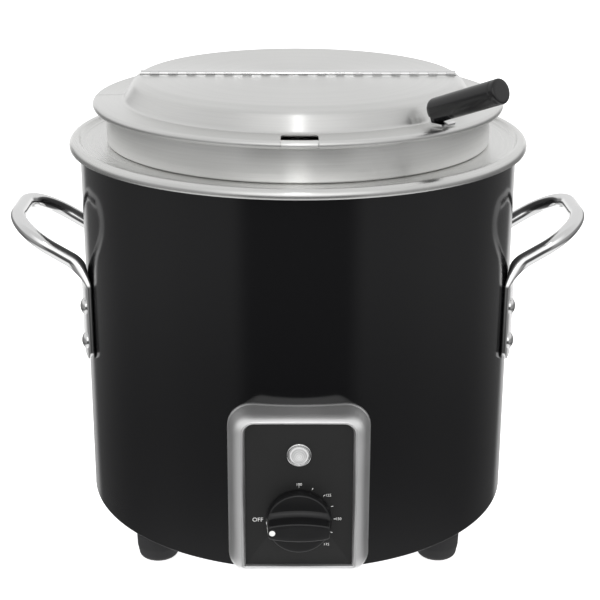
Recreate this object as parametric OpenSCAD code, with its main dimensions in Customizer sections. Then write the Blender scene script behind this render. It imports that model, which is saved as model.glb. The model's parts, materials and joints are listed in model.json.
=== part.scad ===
// Round countertop soup kettle: a painted shell around a stainless water well, a lift-out
// inset with a hinged lid, and a thermostat panel at the front. Millimetres, +Z up.
// The front faces -Y and the origin is where the kettle's axis meets the counter.

/* [Body] */
// Outside diameter of the painted shell
body_d = 300.8; // [296:0.2:306]
// Height of the painted shell
body_h = 255; // [250:1:258]
// Thickness of the shell's steel sheet
sheet_t = 1.0; // [0.8:0.1:1.2]
// Height of the rubber feet
foot_h = 20; // [16:1:26]
// Distance of each foot from the kettle's axis
foot_ring = 134; // [128:1:134]
// Diameter of a foot at its top
foot_d = 30; // [24:1:30]

/* [Water well] */
// Diameter of the flange's rolled outer edge
flange_d = 315.2; // [314:0.2:318]
// Diameter of the opening that the inset hangs in
opening_d = 256; // [255:0.5:257]
// Depth of the well below its flange
well_depth = 197; // [195:1:200]

/* [Inset] */
// Outside diameter of the collar that stands above the flange
collar_d = 263.6; // [262:0.2:265]
// Height of the inset's rim above the well's flange
collar_h = 27.5; // [26:0.5:30]
// Outside diameter of the pan below the collar
pan_d = 251; // [248:0.5:252]
// Depth of the inset from rim to floor, inside
inset_depth = 210; // [205:1:210]

/* [Lid] */
// Outside diameter of the lid
lid_d = 281.2; // [280:0.2:284]
// Diameter of the dome where it rises from the rim
dome_d = 239; // [236:1:242]
// Height of the dome above the rim
dome_h = 14.6; // [13:0.2:17]
// Width of the notch for the ladle's handle
notch_w = 23; // [20:1:30]
// Number of knuckles in the piano hinge
knuckles = 34; // [30:2:34]

/* [Lid grip] */
// Direction of the grip, turned from the front towards the right
grip_turn = 43.2; // [35:0.1:60]
// Upward tilt of the grip
grip_tilt = 21; // [15:1:25]
// Length of the grip
grip_l = 56; // [45:1:65]
// Diameter of the grip
grip_d = 16; // [14:0.5:17]

/* [Side handles] */
// Distance between the middles of a handle's two legs
handle_w = 90; // [80:1:96]
// Distance between the middles of a handle's two tabs, measured straight across
tab_spacing = 90; // [86:1:94]
// Diameter of the handle's rod
rod_d = 10.4; // [9:0.1:11]
// Reach of the handle's outer bar from the kettle's axis
handle_reach = 195; // [190:0.5:198]
// Height of the handle's outer bar above the counter
handle_z = 224; // [220:1:228]

/* [Control panel] */
// Width of the bezel
bezel_w = 90; // [88:1:94]
// Height of the bezel
bezel_h = 116.7; // [114:0.1:118]
// Distance of the plate's face from the kettle's axis
plate_y = 165; // [164:0.5:167]
// Width of the control plate
plate_w = 69; // [66:1:70]
// Height of the control plate
plate_h = 99.6; // [96:0.1:100]
// Height of the knob's axis above the counter
knob_z = 65; // [62:1:68]
// Diameter of the knob
knob_d = 41.4; // [38:0.2:42]
// Height of the knob above the plate
knob_h = 19.2; // [17:0.2:22]
// Height of the indicator lamp above the counter
lamp_z = 110; // [108:0.5:112]

/* [Hidden] */
$fn = 96;
eps = 0.01;                           // overlap where two shapes of one piece join
cut = 1;                              // how far a cutter runs past the face it opens

steel_col = "#c9cacb";                // brushed and polished stainless steel
paint_col = "#17181a";                // gloss black paint
black_col = "#26272a";                // black plate, knob and grip
rubber_col = "#202122";
zinc_col = "#a9adb0";                 // plated screws and nuts

// Shell and base
shell_r = body_d / 2;
shell_in_r = shell_r - sheet_t;
shell_top_z = foot_h + body_h;
base_t = 1.0;                         // thickness of the base plate
base_z = foot_h + 0.2;                // underside of the base plate
base_r = shell_in_r - 0.4;
hem_z = base_z + base_t;              // underside of the shell's turned-in hem
hem_r = 118;                          // inner radius of the hem
hem_top_z = hem_z + sheet_t;
foot_turn = 43.8;                     // angle of the front right foot from the X axis
foot_turns = [foot_turn, 180 - foot_turn, 180 + foot_turn, 360 - foot_turn];
screw_r = 2;                          // M4 shank
screw_hole_r = 2.25;

// Well flange and well
well_t = 0.9;
flange_r = flange_d / 2;
gutter_z = shell_top_z + well_t;      // top of the flange where the inset rests
well_r = opening_d / 2;
well_out_r = well_r + well_t;
floor_z = gutter_z - well_depth;      // top of the well's floor
floor_out_z = floor_z - well_t;
well_corner_r = 12;
bead_out_r = 4.6;                     // outer radius of the flange's rolled edge
bead_x = flange_r - bead_out_r;
bead_z = gutter_z - 1.4;
bead_a0 = 118;                        // where the roll starts, at the gutter's crease
bead_a1 = -25;                        // where it ends, at the flange's lower edge

// Inset
inset_t = 0.9;
collar_r = collar_d / 2;
pan_r = pan_d / 2;
bead_r = 2.5;                         // rolled bead on the inset's rim
bead_ring = collar_r + 3.4;
rim_z = gutter_z + collar_h;          // top of the inset's bead
pan_floor_z = rim_z - inset_depth;
shoulder_r = 1.6;                     // outer radius of the step below the collar

// Lid
lid_t = 0.9;
lid_r = lid_d / 2;
lid_low_z = rim_z;                    // underside of the lid's rim, on the bead
lid_top_z = lid_low_z + lid_t + dome_h;
lip_drop = 3.8;                       // how far the lid's edge turns down
dome_r = dome_d / 2;
dome_slant = 30;                      // slant of the dome's wall from upright
shoulder_arc = 10;                    // rounding where the dome's wall meets its top
notch_r = 4.5;                        // rounding of the notch's corners
notch_in = 122.2;                     // distance of the notch's end from the axis
split_gap = 0.3;                      // half of the gap between the lid's two halves

// Hinge
knuckle_pitch = 6.35;
knuckle_gap = 0.3;
barrel_r = 2.2;
hinge_l = knuckles * knuckle_pitch;
leaf_t = 0.8;
leaf_w = 14;
leaf_r = 104.8;                       // reach of the leaves from the axis
leaf_z = lid_top_z - lid_t - leaf_t;  // underside of the hinge's leaves
hinge_z = leaf_z + barrel_r;
slot_half = 2.8;                      // half of the slot that the barrel stands in
pin_r = 1.2;

// Grip and its bracket, in the plane that the grip lies in
grip_r = grip_d / 2;
grip_root_r = 124.5;                  // distance of the grip's root from the axis
grip_root_z = lid_low_z + lid_t + grip_r + 0.5;
bracket_t = 1.2;
bracket_w = 14;
rivet_ring = 134.2;
rivet_side = 4;

// Side handles
rod_r = rod_d / 2;
leg_y = handle_w / 2;
leg_rise = 31.6;                      // slope of the legs above level
corner_r = 33;                        // bend between leg and outer bar
knee_r = 22;                          // bend between leg and tab
knee_turn = 90 - leg_rise;
tab_t = 3.5;
tab_w = 22;
tab_end_r = 7;                        // rounding of a tab's lower corners
tab_in_r = shell_r + 0.1;
tab_turn = asin(tab_spacing / 2 / shell_r);   // angle of a tab round the shell
tab_turns = [tab_turn, -tab_turn, 180 + tab_turn, 180 - tab_turn];
tab_x = (tab_in_r + tab_t / 2) * cos(tab_turn);
tab_y = (tab_in_r + tab_t / 2) * sin(tab_turn);
knee_x = tab_x + knee_r * (1 - cos(knee_turn));
knee_z = handle_z - (handle_reach - knee_x) * tan(leg_rise);
tab_low_z = foot_h + 109;
tab_top_z = knee_z - knee_r * sin(knee_turn);
handle_screw_r = 2.5;
handle_screw_zs = [foot_h + 121.3, foot_h + 146.5];
nut_h = 4;

// Control panel
plate_t = 1.5;
bezel_t = 1.2;
bezel_low_z = foot_h + 0.5;
bezel_mid_z = bezel_low_z + bezel_h / 2;
plate_low_z = foot_h + 12;
plate_mid_z = plate_low_z + plate_h / 2;
plate_back_y = plate_y - plate_t;
lip_w = 5;                            // width of the bezel's lip behind the plate
stud_x = plate_w / 2 - 2.5;
stud_zs = [plate_low_z + 6, plate_low_z + plate_h - 8];
stud_r = 1.5;
knob_r = knob_d / 2;
skirt_h = 7.4;                        // height of the knob's round skirt
bar_t = 12.7;                         // thickness of the knob's grip bar
dot_x = knob_r - 3.9;                 // distance of the white dot from the knob's axis
shaft_r = 3;
knob_gap = 0.4;                       // between the knob's back and the plate
thermo_w = 36;
thermo_h = 30;
thermo_d = 24;

// Element, clamp, bulb and wiring under the well
element_ring = 85;
element_r = 4;
element_z = floor_out_z - element_r;
clamp_t = 2.5;
clamp_top_z = element_z - element_r;
stud_m6_r = 3;
nut_m6_r = 5.8;
bulb_r = 3;
bulb_y = -40;
bulb_z = floor_out_z - bulb_r - 0.1;
wire_r = 1.5;
wire_z = 48;

// Cord gland
gland_z = foot_h + 32;
gland_bore_r = 4.5;
gland_r = 8;

// Points on an arc of radius r about (cx, cy), from angle a0 to a1
function arc(cx, cy, r, a0, a1, n = 8) =
    [for (i = [0:n]) [cx + r * cos(a0 + (a1 - a0) * i / n), cy + r * sin(a0 + (a1 - a0) * i / n)]];

// Outline of a w by h rectangle about the origin, with its top and bottom corners rounded
function rounded(w, h, rt, rb) = concat(
    arc(w / 2 - rt, h / 2 - rt, rt, 0, 90, 6), arc(rt - w / 2, h / 2 - rt, rt, 90, 180, 6),
    arc(rb - w / 2, rb - h / 2, rb, 180, 270, 6), arc(w / 2 - rb, rb - h / 2, rb, 270, 360, 6));

// A round bar from point p to point q
module bar(p, q, r) {
    d = q - p;
    translate(p) rotate([0, acos(d.z / norm(d)), atan2(d.y, d.x)])
        cylinder(h = norm(d), r = r, $fn = 24);
}

// A round bar along a list of points, with a ball slightly larger than the bar at each bend
module wire(points, r) {
    for (i = [1:len(points) - 1]) bar(points[i - 1], points[i], r);
    for (i = [1:len(points) - 2]) translate(points[i]) sphere(r = r * 1.12, $fn = 24);
}

// Places its children upright on the shell's wall: their +Z points outwards at angle turn
module on_wall(turn, z, r) rotate([0, 0, turn]) translate([r, 0, z]) rotate([0, 90, 0]) children();

// Places its children on the front: their +Z points to the front from the plane y
module on_front(x, y, z) translate([x, -y, z]) rotate([90, 0, 0]) children();

// A low domed head of radius r and height h, standing on z = 0
module domed_head(r, h) {
    ball = (r * r + h * h) / (2 * h);
    rotate_extrude() polygon(concat([[0, 0]], arc(0, h - ball, ball, asin((ball - h) / ball), 90, 6)));
}

// A hexagonal nut with a bore
module hex_nut(r, h, bore) difference() {
    cylinder(h = h, r = r, $fn = 6);
    translate([0, 0, -cut]) cylinder(h = h + 2 * cut, r = bore);
}

// A plate standing across the front, from the plane y back by t
module front_plate(points, y, t, z) on_front(0, y, z)
    translate([0, 0, -t]) linear_extrude(t) polygon(points);

// ---- Body ----

module outer_shell() color(paint_col) difference() {
    rotate_extrude($fn = 180) polygon([[hem_r, hem_z], [shell_in_r, hem_z], [shell_in_r, foot_h],
        [shell_r, foot_h], [shell_r, shell_top_z], [shell_in_r, shell_top_z],
        [shell_in_r, hem_top_z], [hem_r, hem_top_z]]);
    // Opening behind the control panel, with a hole for each of the bezel's studs
    translate([-29, -shell_r - cut, plate_low_z + 8]) cube([58, 20, plate_h - 20]);
    for (x = [-stud_x, stud_x], z = stud_zs) on_front(x, 140, z) cylinder(h = 20, r = stud_r + 0.4);
    for (turn = tab_turns, z = handle_screw_zs)
        on_wall(turn, z, shell_r - 5) cylinder(h = 10, r = handle_screw_r + 0.2);
    on_wall(90, gland_z, shell_r - 5) cylinder(h = 10, r = gland_r + 0.3);
    screw_places() cylinder(h = 10, r = screw_hole_r);
}

module water_well() color(steel_col) {
    rotate_extrude($fn = 180) polygon(concat(
        // Inside of the floor and the wall, then over the edge of the opening
        [[0, floor_z]], arc(well_r - well_corner_r, floor_z + well_corner_r, well_corner_r, 270, 360, 6),
        arc(well_r + 1, gutter_z - 1, 1, 180, 90, 3),
        // Gutter, and the rolled edge from its inner crease to its lower edge
        [[collar_r + 1, gutter_z], [shell_r - 0.8, gutter_z + 0.3]],
        arc(bead_x, bead_z, bead_out_r, bead_a0, bead_a1, 12),
        arc(bead_x, bead_z, bead_out_r - well_t, bead_a1, bead_a0, 12),
        [[shell_r + 0.7, gutter_z + 0.2], [shell_r + 0.2, shell_top_z]],
        // Outside of the wall and the floor
        arc(well_out_r + 0.6, shell_top_z - 0.6, 0.6, 90, 180, 2),
        arc(well_r - well_corner_r, floor_z + well_corner_r, well_corner_r + well_t, 0, -90, 6),
        [[0, floor_out_z]]));
}

module insulation_wrap() color("#d8cfa0")
    translate([0, 0, foot_h + 105]) difference() {
        cylinder(h = 140, r = 141);
        translate([0, 0, -cut]) cylinder(h = 140 + 2 * cut, r = well_out_r + 0.6);
    }

module base_plate() color(zinc_col) difference() {
    translate([0, 0, base_z]) cylinder(h = base_t, r = base_r, $fn = 180);
    screw_places() cylinder(h = 10, r = screw_hole_r);
    translate([0, 0, foot_h - cut]) cylinder(h = 10, r = stud_m6_r + 0.3);
    for (turn = [0:30:330]) rotate([0, 0, turn + 15]) translate([70, 0, foot_h - cut])
        cylinder(h = 5, r = 4);
}

// The screw places through the base plate and the hem, feet first
module screw_places() {
    for (turn = foot_turns) rotate([0, 0, turn]) translate([foot_ring, 0, foot_h - cut]) children();
    for (turn = [0:90:270]) rotate([0, 0, turn]) translate([foot_ring + 2, 0, foot_h - cut]) children();
}

// ---- Element and controls under the well ----

module heating_element() color("#5b5552") {
    gap = 12;                         // half the angle between the element's two ends
    translate([0, 0, element_z]) rotate([0, 0, 90 + gap])
        rotate_extrude(angle = 360 - 2 * gap) translate([element_ring, 0]) circle(r = element_r, $fn = 32);
    for (side = [-1, 1]) rotate([0, 0, 90 + side * gap]) translate([element_ring, 0, 0]) {
        translate([0, 0, element_z - 0.4]) sphere(r = element_r + 0.4, $fn = 32);
        translate([0, 0, element_z - 14]) cylinder(h = 14, r = element_r - 0.3, $fn = 32);
        translate([0, 0, element_z - 20]) cylinder(h = 6 + eps, r = 1.6, $fn = 24);
    }
}

module element_clamp() color(zinc_col) difference() {
    translate([-element_ring - 8, -12, clamp_top_z - clamp_t])
        cube([2 * element_ring + 16, 24, clamp_t]);
    translate([0, 0, clamp_top_z - 10]) cylinder(h = 20, r = stud_m6_r + 0.3);
}

module draw_stud() color(zinc_col)
    translate([0, 0, base_z - 6]) cylinder(h = floor_out_z - base_z + 6, r = stud_m6_r);

module clamp_nut() color(zinc_col)
    translate([0, 0, clamp_top_z - clamp_t - 5]) hex_nut(nut_m6_r, 5, stud_m6_r + 0.05);

module base_nut() color(zinc_col)
    translate([0, 0, base_z - 5]) hex_nut(nut_m6_r, 5, stud_m6_r + 0.05);

module thermostat_body() color("#c8c2b4") difference() {
    union() {
        translate([-thermo_w / 2, -plate_back_y, knob_z - thermo_h / 2])
            cube([thermo_w, thermo_d, thermo_h]);
        on_front(0, plate_back_y - eps, knob_z) cylinder(h = plate_t + 1.6, r = 5);
    }
    on_front(0, plate_back_y - 14, knob_z) cylinder(h = 20, r = shaft_r + 0.1);
    for (x = [-14, 14]) on_front(x, plate_back_y - 6, knob_z) cylinder(h = 10, r = 1.55);
}

module thermostat_bulb() color("#b87b4b")
    bar([-38, bulb_y, bulb_z], [30, bulb_y, bulb_z], bulb_r);

module bulb_clip() color(zinc_col) difference() {
    translate([-12, bulb_y - 6, bulb_z - bulb_r - 1.2]) cube([8, 12, 2 * bulb_r + 1.2]);
    bar([-14, bulb_y, bulb_z], [-2, bulb_y, bulb_z], bulb_r + 0.05);
}

module capillary_tube() color("#b87b4b") wire([[30.5, bulb_y, bulb_z], [40, bulb_y - 4, bulb_z - 2],
    [42, bulb_y - 24, 62], [12, -122, 62], [10, -plate_back_y + thermo_d, 66]], 1);

module high_limit_cutout() color("#3a3532") translate([42, 42, 0]) {
    translate([0, 0, floor_out_z - 7]) cylinder(h = 6, r = 8);
    translate([-13, -5, floor_out_z - 1]) cube([26, 10, 1]);
    for (x = [-4, 4]) translate([x - 0.4, -3, floor_out_z - 15]) cube([0.8, 6, 8 + eps]);
}

module terminal_block() color("#e6e2d6") difference() {
    translate([-22, 88, hem_z]) cube([44, 18, 17]);
    for (x = [-14, 0, 14]) translate([x, 97, hem_z + 12]) cylinder(h = 10, r = 3.2);
}

// Leads: block to thermostat, block and thermostat to the element's ends, gland to block
module supply_leads() color("#b9352b") {
    block_z = hem_z + 17;
    thermo_y = -plate_back_y + thermo_d;
    end_x = element_ring * sin(12);
    end_y = element_ring * cos(12);
    wire([[-8, 92, block_z], [-8, 92, wire_z], [-8, -118, wire_z], [-8, thermo_y, 57]], wire_r);
    wire([[8, 92, block_z], [8, 92, wire_z - 6], [8, 76, wire_z - 6], [end_x, end_y, 50],
        [end_x, end_y, element_z - 20]], wire_r);
    wire([[-end_x, end_y, element_z - 20], [-end_x, end_y, 51], [-end_x, -112, 51],
        [-14, thermo_y, 60]], wire_r);
}

module cord_gland() color(black_col) difference() {
    union() {
        on_wall(90, gland_z, shell_r + 0.1) cylinder(h = 4, r = 12);
        on_wall(90, gland_z, shell_r - 14) cylinder(h = 16, r = gland_r);
        on_wall(90, gland_z, shell_r + 4) cylinder(h = 10, r1 = 9.5, r2 = 7);
    }
    on_wall(90, gland_z, shell_r - 20) cylinder(h = 60, r = gland_bore_r);
}

module gland_nut() color(black_col)
    on_wall(90, gland_z, shell_in_r - 5.4) hex_nut(12, 5, gland_r + 0.05);

// ---- Control panel ----

// Solid of the bezel's raised part: it rises from the shell's curve, grown by base_grow, to the plate
module bezel_slope(grow, base_grow, y_front) hull() {
    intersection() {
        cylinder(h = 200, r = shell_r + base_grow, $fn = 180);
        front_plate(rounded(bezel_w - 1 + 2 * grow, bezel_h - 1 + 2 * grow, 16, 10), shell_r + 10, 40,
            bezel_mid_z);
    }
    front_plate(rounded(plate_w + 5.6 + 2 * grow, plate_h + 5.6 + 2 * grow, 9, 4), y_front, 0.2,
        plate_mid_z);
}

module control_bezel() color(steel_col) {
    difference() {
        union() {
            bezel_slope(0, 3.4, plate_y + 1.2);
            intersection() {
                cylinder(h = 200, r = shell_r + 1.1, $fn = 180);
                front_plate(rounded(bezel_w, bezel_h, 16.5, 10.5), shell_r + 10, 40, bezel_mid_z);
            }
        }
        bezel_slope(-bezel_t, 3.4 - bezel_t, plate_y);
        front_plate(rounded(plate_w + 0.6, plate_h + 0.6, 7, 1), plate_y + 5, 9, plate_mid_z);
        cylinder(h = 400, r = shell_r + 0.1, center = true, $fn = 180);
    }
    // Lip that the plate rests on, with four studs welded to its back
    difference() {
        front_plate(rounded(plate_w + 3.2, plate_h + 3.2, 7, 1), plate_back_y, bezel_t, plate_mid_z);
        front_plate(rounded(plate_w - 2 * lip_w, plate_h - 2 * lip_w, 4, 1), plate_y, 9, plate_mid_z);
    }
    for (x = [-stud_x, stud_x], z = stud_zs) on_front(x, 139, z)
        cylinder(h = plate_back_y - bezel_t - 139 + 0.2, r = stud_r);
}

module bezel_nuts() color(zinc_col) for (x = [-stud_x, stud_x], z = stud_zs)
    on_front(x, 140, z) hex_nut(3.2, 2.4, stud_r + 0.05);

module control_plate() color(black_col) difference() {
    front_plate(rounded(plate_w, plate_h, 7, 0.8), plate_y, plate_t, plate_mid_z);
    on_front(0, plate_back_y - cut, knob_z) cylinder(h = 5, r = 5.2);
    on_front(0, plate_back_y - cut, lamp_z) cylinder(h = 5, r = 5.7);
    for (x = [-14, 14]) on_front(x, plate_back_y - cut, knob_z) cylinder(h = 5, r = 1.8);
}

module thermostat_screws() color(zinc_col) for (x = [-14, 14]) {
    on_front(x, plate_back_y - 5, knob_z) cylinder(h = 5 + plate_t, r = 1.5);
    on_front(x, plate_y, knob_z) domed_head(2.8, 1.4);
}

module indicator_body() color(steel_col) difference() {
    union() {
        on_front(0, plate_back_y - 16, lamp_z) cylinder(h = 16 + plate_t + eps, r = 5.5);
        on_front(0, plate_y, lamp_z) cylinder(h = 1.4, r = 7.8);
    }
    on_front(0, plate_y - 4, lamp_z) cylinder(h = 10, r = 4.2);
}

module indicator_lens() color("#eef1f2") {
    on_front(0, plate_y - 4, lamp_z) cylinder(h = 5.4 + eps, r = 4.1);
    on_front(0, plate_y + 1.4, lamp_z) domed_head(6.6, 2.4);
}

module indicator_nut() color(zinc_col)
    on_front(0, plate_back_y - 4, lamp_z) hex_nut(8, 4, 5.55);

// ---- Knob: its grip bar lies level at OFF, with the pointer at the left ----

module knob_cone(grow) cylinder(h = knob_h, r1 = knob_r + grow, r2 = knob_r - 1.3 + grow);

module control_knob() color(black_col) on_front(0, plate_y, knob_z) difference() {
    union() {
        translate([0, 0, knob_gap]) cylinder(h = skirt_h - knob_gap, r = knob_r + 0.1);
        intersection() {
            knob_cone(0);
            translate([-30, -bar_t / 2, 2]) cube([60, bar_t, 30]);
        }
    }
    translate([0, 0, -eps]) cylinder(h = 2.4, r = knob_r - 2.2);
    translate([0, 0, -eps]) cylinder(h = 14, r = shaft_r + 0.05);
    translate([-dot_x, 0, knob_h - 0.6]) cylinder(h = 2, r = 2.15);
    pointer_stripe(0.05);
}

// White stripe up the left end of the grip bar
module pointer_stripe(grow) difference() {
    intersection() {
        knob_cone(0.3);
        translate([-30, -0.7 - grow, skirt_h + 1 - grow]) cube([20, 1.4 + 2 * grow, knob_h]);
    }
    knob_cone(-0.6 - grow);
}

module knob_pointer() color("white") on_front(0, plate_y, knob_z) {
    intersection() {
        pointer_stripe(0);
        knob_cone(0);
    }
    translate([-dot_x, 0, knob_h - 0.6]) cylinder(h = 0.6, r = 2.1);
}

module thermostat_shaft() color(zinc_col) on_front(0, plate_back_y - 13, knob_z)
    cylinder(h = 13 + plate_t + 13, r = shaft_r);

// ---- Side handles ----

// The right handle is one bent rod whose two ends are pressed flat into tabs. Each station along
// it is [centre, direction of its width, direction of its thickness, half width, half thickness].
out = [cos(leg_rise), 0, sin(leg_rise)];      // outwards along the sloping loop
side_dir = [0, 1, 0];

// Rounded lower end of a tab: the width grows as a runs from 0 to 90
function tab_station(a) = [[tab_x, tab_y, tab_low_z + tab_end_r * (1 - cos(a))],
    [-sin(tab_turn), cos(tab_turn), 0], [cos(tab_turn), sin(tab_turn), 0],
    tab_w / 2 - tab_end_r * (1 - sin(a)), tab_t / 2];

// Knee, from the flat tab at t = 0 to the round rod at t = 1
function knee_station(t) = let (tilt = knee_turn * t, e = t * t * (3 - 2 * t), turn = tab_turn * (1 - e))
    [[tab_x + knee_r * (1 - cos(tilt)), tab_y + (leg_y - tab_y) * e,
        tab_top_z + knee_r * sin(tilt)],
    [-sin(turn), cos(turn), 0], [cos(tilt) * cos(turn), cos(tilt) * sin(turn), -sin(tilt)],
    tab_w / 2 + (rod_r - tab_w / 2) * e, tab_t / 2 + (rod_r - tab_t / 2) * e];

// Corner between a leg and the outer bar: a runs from 0 on the leg to 90 on the bar
function corner_station(a) = let (w = sin(a) * out + cos(a) * side_dir)
    [[handle_reach, leg_y - corner_r, handle_z] - corner_r * out + corner_r * w, w,
    [sin(leg_rise), 0, -cos(leg_rise)], rod_r, rod_r];

function flip_y(v) = [v.x, -v.y, v.z];
function station_points(s) = let (r = min(s[4] - 0.2, rod_r), w = s[3] - r, t = s[4] - r)
    [for (q = concat(arc(w, t, r, 7.5, 82.5, 5), arc(-w, t, r, 97.5, 172.5, 5),
        arc(-w, -t, r, 187.5, 262.5, 5), arc(w, -t, r, 277.5, 352.5, 5))) s[0] + q.x * s[1] + q.y * s[2]];

module handle() {
    half = concat([for (a = [0:30:90]) tab_station(a)], [for (t = [0:1 / 6:1.01]) knee_station(t)],
        [for (a = [0:11.25:90]) corner_station(a)]);
    stations = concat(half, [for (s = reversed(half))
        [flip_y(s[0]), flip_y(s[1]), flip_y(s[2]), s[3], s[4]]]);
    n = 24;                           // points round each station
    last = len(stations) - 1;
    difference() {
        polyhedron([for (s = stations) each station_points(s)], concat(
            [[for (k = [n - 1:-1:0]) k]], [[for (k = [0:n - 1]) last * n + k]],
            [for (i = [0:last - 1], k = [0:n - 1]) [i * n + k, i * n + (k + 1) % n, (i + 1) * n + k]],
            [for (i = [0:last - 1], k = [0:n - 1])
                [i * n + (k + 1) % n, (i + 1) * n + (k + 1) % n, (i + 1) * n + k]]));
        for (side = [-1, 1], z = handle_screw_zs) on_wall(side * tab_turn, z, shell_r - 5)
            cylinder(h = 15, r = handle_screw_r + 0.1);
    }
}

// Screws of the right handle, with their heads on the tabs and shanks through the shell
module handle_screw_set() for (side = [-1, 1], z = handle_screw_zs) {
    on_wall(side * tab_turn, z, shell_in_r - 8)
        cylinder(h = 8 + sheet_t + 0.1 + tab_t + eps, r = handle_screw_r);
    on_wall(side * tab_turn, z, tab_in_r + tab_t) domed_head(5.8, 3.2);
}

module left_handle() color(steel_col) mirror([1, 0, 0]) handle();
module right_handle() color(steel_col) handle();
module left_handle_screws() color(steel_col) mirror([1, 0, 0]) handle_screw_set();
module right_handle_screws() color(steel_col) handle_screw_set();
module handle_nuts() color(zinc_col) for (turn = tab_turns, z = handle_screw_zs)
    on_wall(turn, z, shell_in_r - 0.15 - nut_h) hex_nut(4.6, nut_h, handle_screw_r + 0.05);

// ---- Feet and base screws ----

module foot(turn) color(rubber_col) rotate([0, 0, turn]) translate([foot_ring, 0, 0]) difference() {
    top_r = foot_d / 2;
    rotate_extrude() polygon(concat([[0, 0]], arc(top_r - 5.6, 4, 4, 270, 357, 6),
        [[top_r, base_z - 0.6], [top_r - 0.5, base_z], [0, base_z]]));
    translate([0, 0, -cut]) cylinder(h = foot_h + 5, r = screw_hole_r);
    translate([0, 0, -cut]) cylinder(h = 9 + cut, r = 5.5);
}

module foot_front_right() foot(-foot_turn);
module foot_front_left() foot(180 + foot_turn);
module foot_rear_right() foot(foot_turn);
module foot_rear_left() foot(180 - foot_turn);

module foot_screws() color(zinc_col) for (turn = foot_turns) rotate([0, 0, turn])
    translate([foot_ring, 0, 0]) {
        translate([0, 0, 6.6]) cylinder(h = 2.4, r = 4);
        translate([0, 0, 8.8]) cylinder(h = hem_top_z - 9 + 5.2, r = screw_r);
    }

module foot_nuts() color(zinc_col) for (turn = foot_turns) rotate([0, 0, turn])
    translate([foot_ring, 0, hem_top_z]) hex_nut(3.9, 3.2, screw_r + 0.05);

module base_screws() color(zinc_col) for (turn = [0:90:270]) rotate([0, 0, turn])
    translate([foot_ring + 2, 0, base_z]) {
        rotate([180, 0, 0]) domed_head(3.8, 2.2);
        translate([0, 0, -eps]) cylinder(h = 7, r = screw_r);
    }

// ---- Inset ----

module inset_pan() color(steel_col) {
    rotate_extrude($fn = 180) polygon(concat(
        // Outside: floor, wall, step onto the flange, collar
        [[0, pan_floor_z - inset_t]],
        arc(pan_r - 14, pan_floor_z - inset_t + 14, 14, 270, 360, 6),
        arc(pan_r + 0.8, gutter_z - 0.8, 0.8, 180, 90, 2),
        arc(collar_r - shoulder_r, gutter_z + shoulder_r, shoulder_r, 270, 360, 4),
        // Rolled bead of the rim
        [[collar_r, rim_z - 5.6]], arc(bead_ring, rim_z - bead_r, bead_r, 215, 450, 14),
        // Inside: collar, step, wall and floor
        arc(collar_r - inset_t + 2, rim_z - 2, 2, 90, 180, 4),
        arc(collar_r - shoulder_r, gutter_z + shoulder_r, shoulder_r - inset_t, 360, 270, 3),
        arc(pan_r + 0.8, gutter_z - 0.8, 0.8 + inset_t, 90, 180, 3),
        arc(pan_r - 14, pan_floor_z - inset_t + 14, 14 - inset_t, 360, 270, 6),
        [[0, pan_floor_z]]));
}

// ---- Lid ----

// Profile of the lid's sheet, offset inwards by d from its outer face
function lid_profile(d) = let (
        z0 = lid_low_z + lid_t,                       // top of the flat rim
        shoulder_z = lid_top_z - shoulder_arc,
        shoulder_c = dome_r - (shoulder_z - z0) * tan(dome_slant) - shoulder_arc / cos(dome_slant))
    concat(
        [[lid_r - 0.6 - d, z0 - lip_drop - lid_t]],
        arc(lid_r - 2.6, z0 - 2.6, 2.6 - d, 0, 90, 5),
        [[dome_r + 2, z0 - d]],
        [[dome_r + 0.5 - d * 0.6, z0 + 0.6 - d]],
        arc(shoulder_c, shoulder_z, shoulder_arc - d, dome_slant, 90, 8),
        [[0, lid_top_z - d]]);

function reversed(list) = [for (i = [len(list) - 1:-1:0]) list[i]];

module lid_sheet() rotate_extrude($fn = 180)
    polygon(concat(lid_profile(0), reversed(lid_profile(lid_t))));

// Half space on the given side of the split, with room for the hinge's barrel
module lid_side(side) difference() {
    translate([-200, side > 0 ? split_gap : -200 - split_gap, lid_low_z - 50]) cube([400, 200, 100]);
    translate([-hinge_l / 2 - 0.6, -slot_half, lid_top_z - 6]) cube([hinge_l + 1.2, 2 * slot_half, 20]);
}

module lid_rear() color(steel_col) intersection() {
    lid_sheet();
    lid_side(1);
}

module lid_front() color(steel_col) difference() {
    intersection() {
        lid_sheet();
        lid_side(-1);
    }
    // Notch for the ladle's handle
    translate([0, -notch_in - 20, lid_low_z - 10]) linear_extrude(20)
        polygon(rounded(notch_w, 40, notch_r, 1));
    for (side = [-1, 1]) bracket_place() translate([rivet_ring, side * rivet_side, 0])
        cylinder(h = 400, r = 1.3);
}

// A leaf of the hinge: knuckles from the given first one, every second place
module hinge_leaf(side, first, bore) difference() {
    union() {
        // The strip stops short of the dome's shoulder
        intersection() {
            translate([-hinge_l / 2, side > 0 ? slot_half : -slot_half - leaf_w, leaf_z])
                cube([hinge_l, leaf_w, leaf_t]);
            cylinder(h = 400, r = leaf_r);
        }
        for (i = [first:2:knuckles - 1]) translate([(i - knuckles / 2) * knuckle_pitch, 0, 0]) {
            translate([knuckle_gap / 2, side > 0 ? 0 : -slot_half - eps, leaf_z])
                cube([knuckle_pitch - knuckle_gap, slot_half + eps, leaf_t]);
            translate([knuckle_gap / 2, 0, hinge_z]) rotate([0, 90, 0])
                cylinder(h = knuckle_pitch - knuckle_gap, r = barrel_r, $fn = 32);
        }
    }
    translate([-hinge_l / 2 - cut, 0, hinge_z]) rotate([0, 90, 0])
        cylinder(h = hinge_l + 2 * cut, r = bore, $fn = 32);
}

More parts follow.
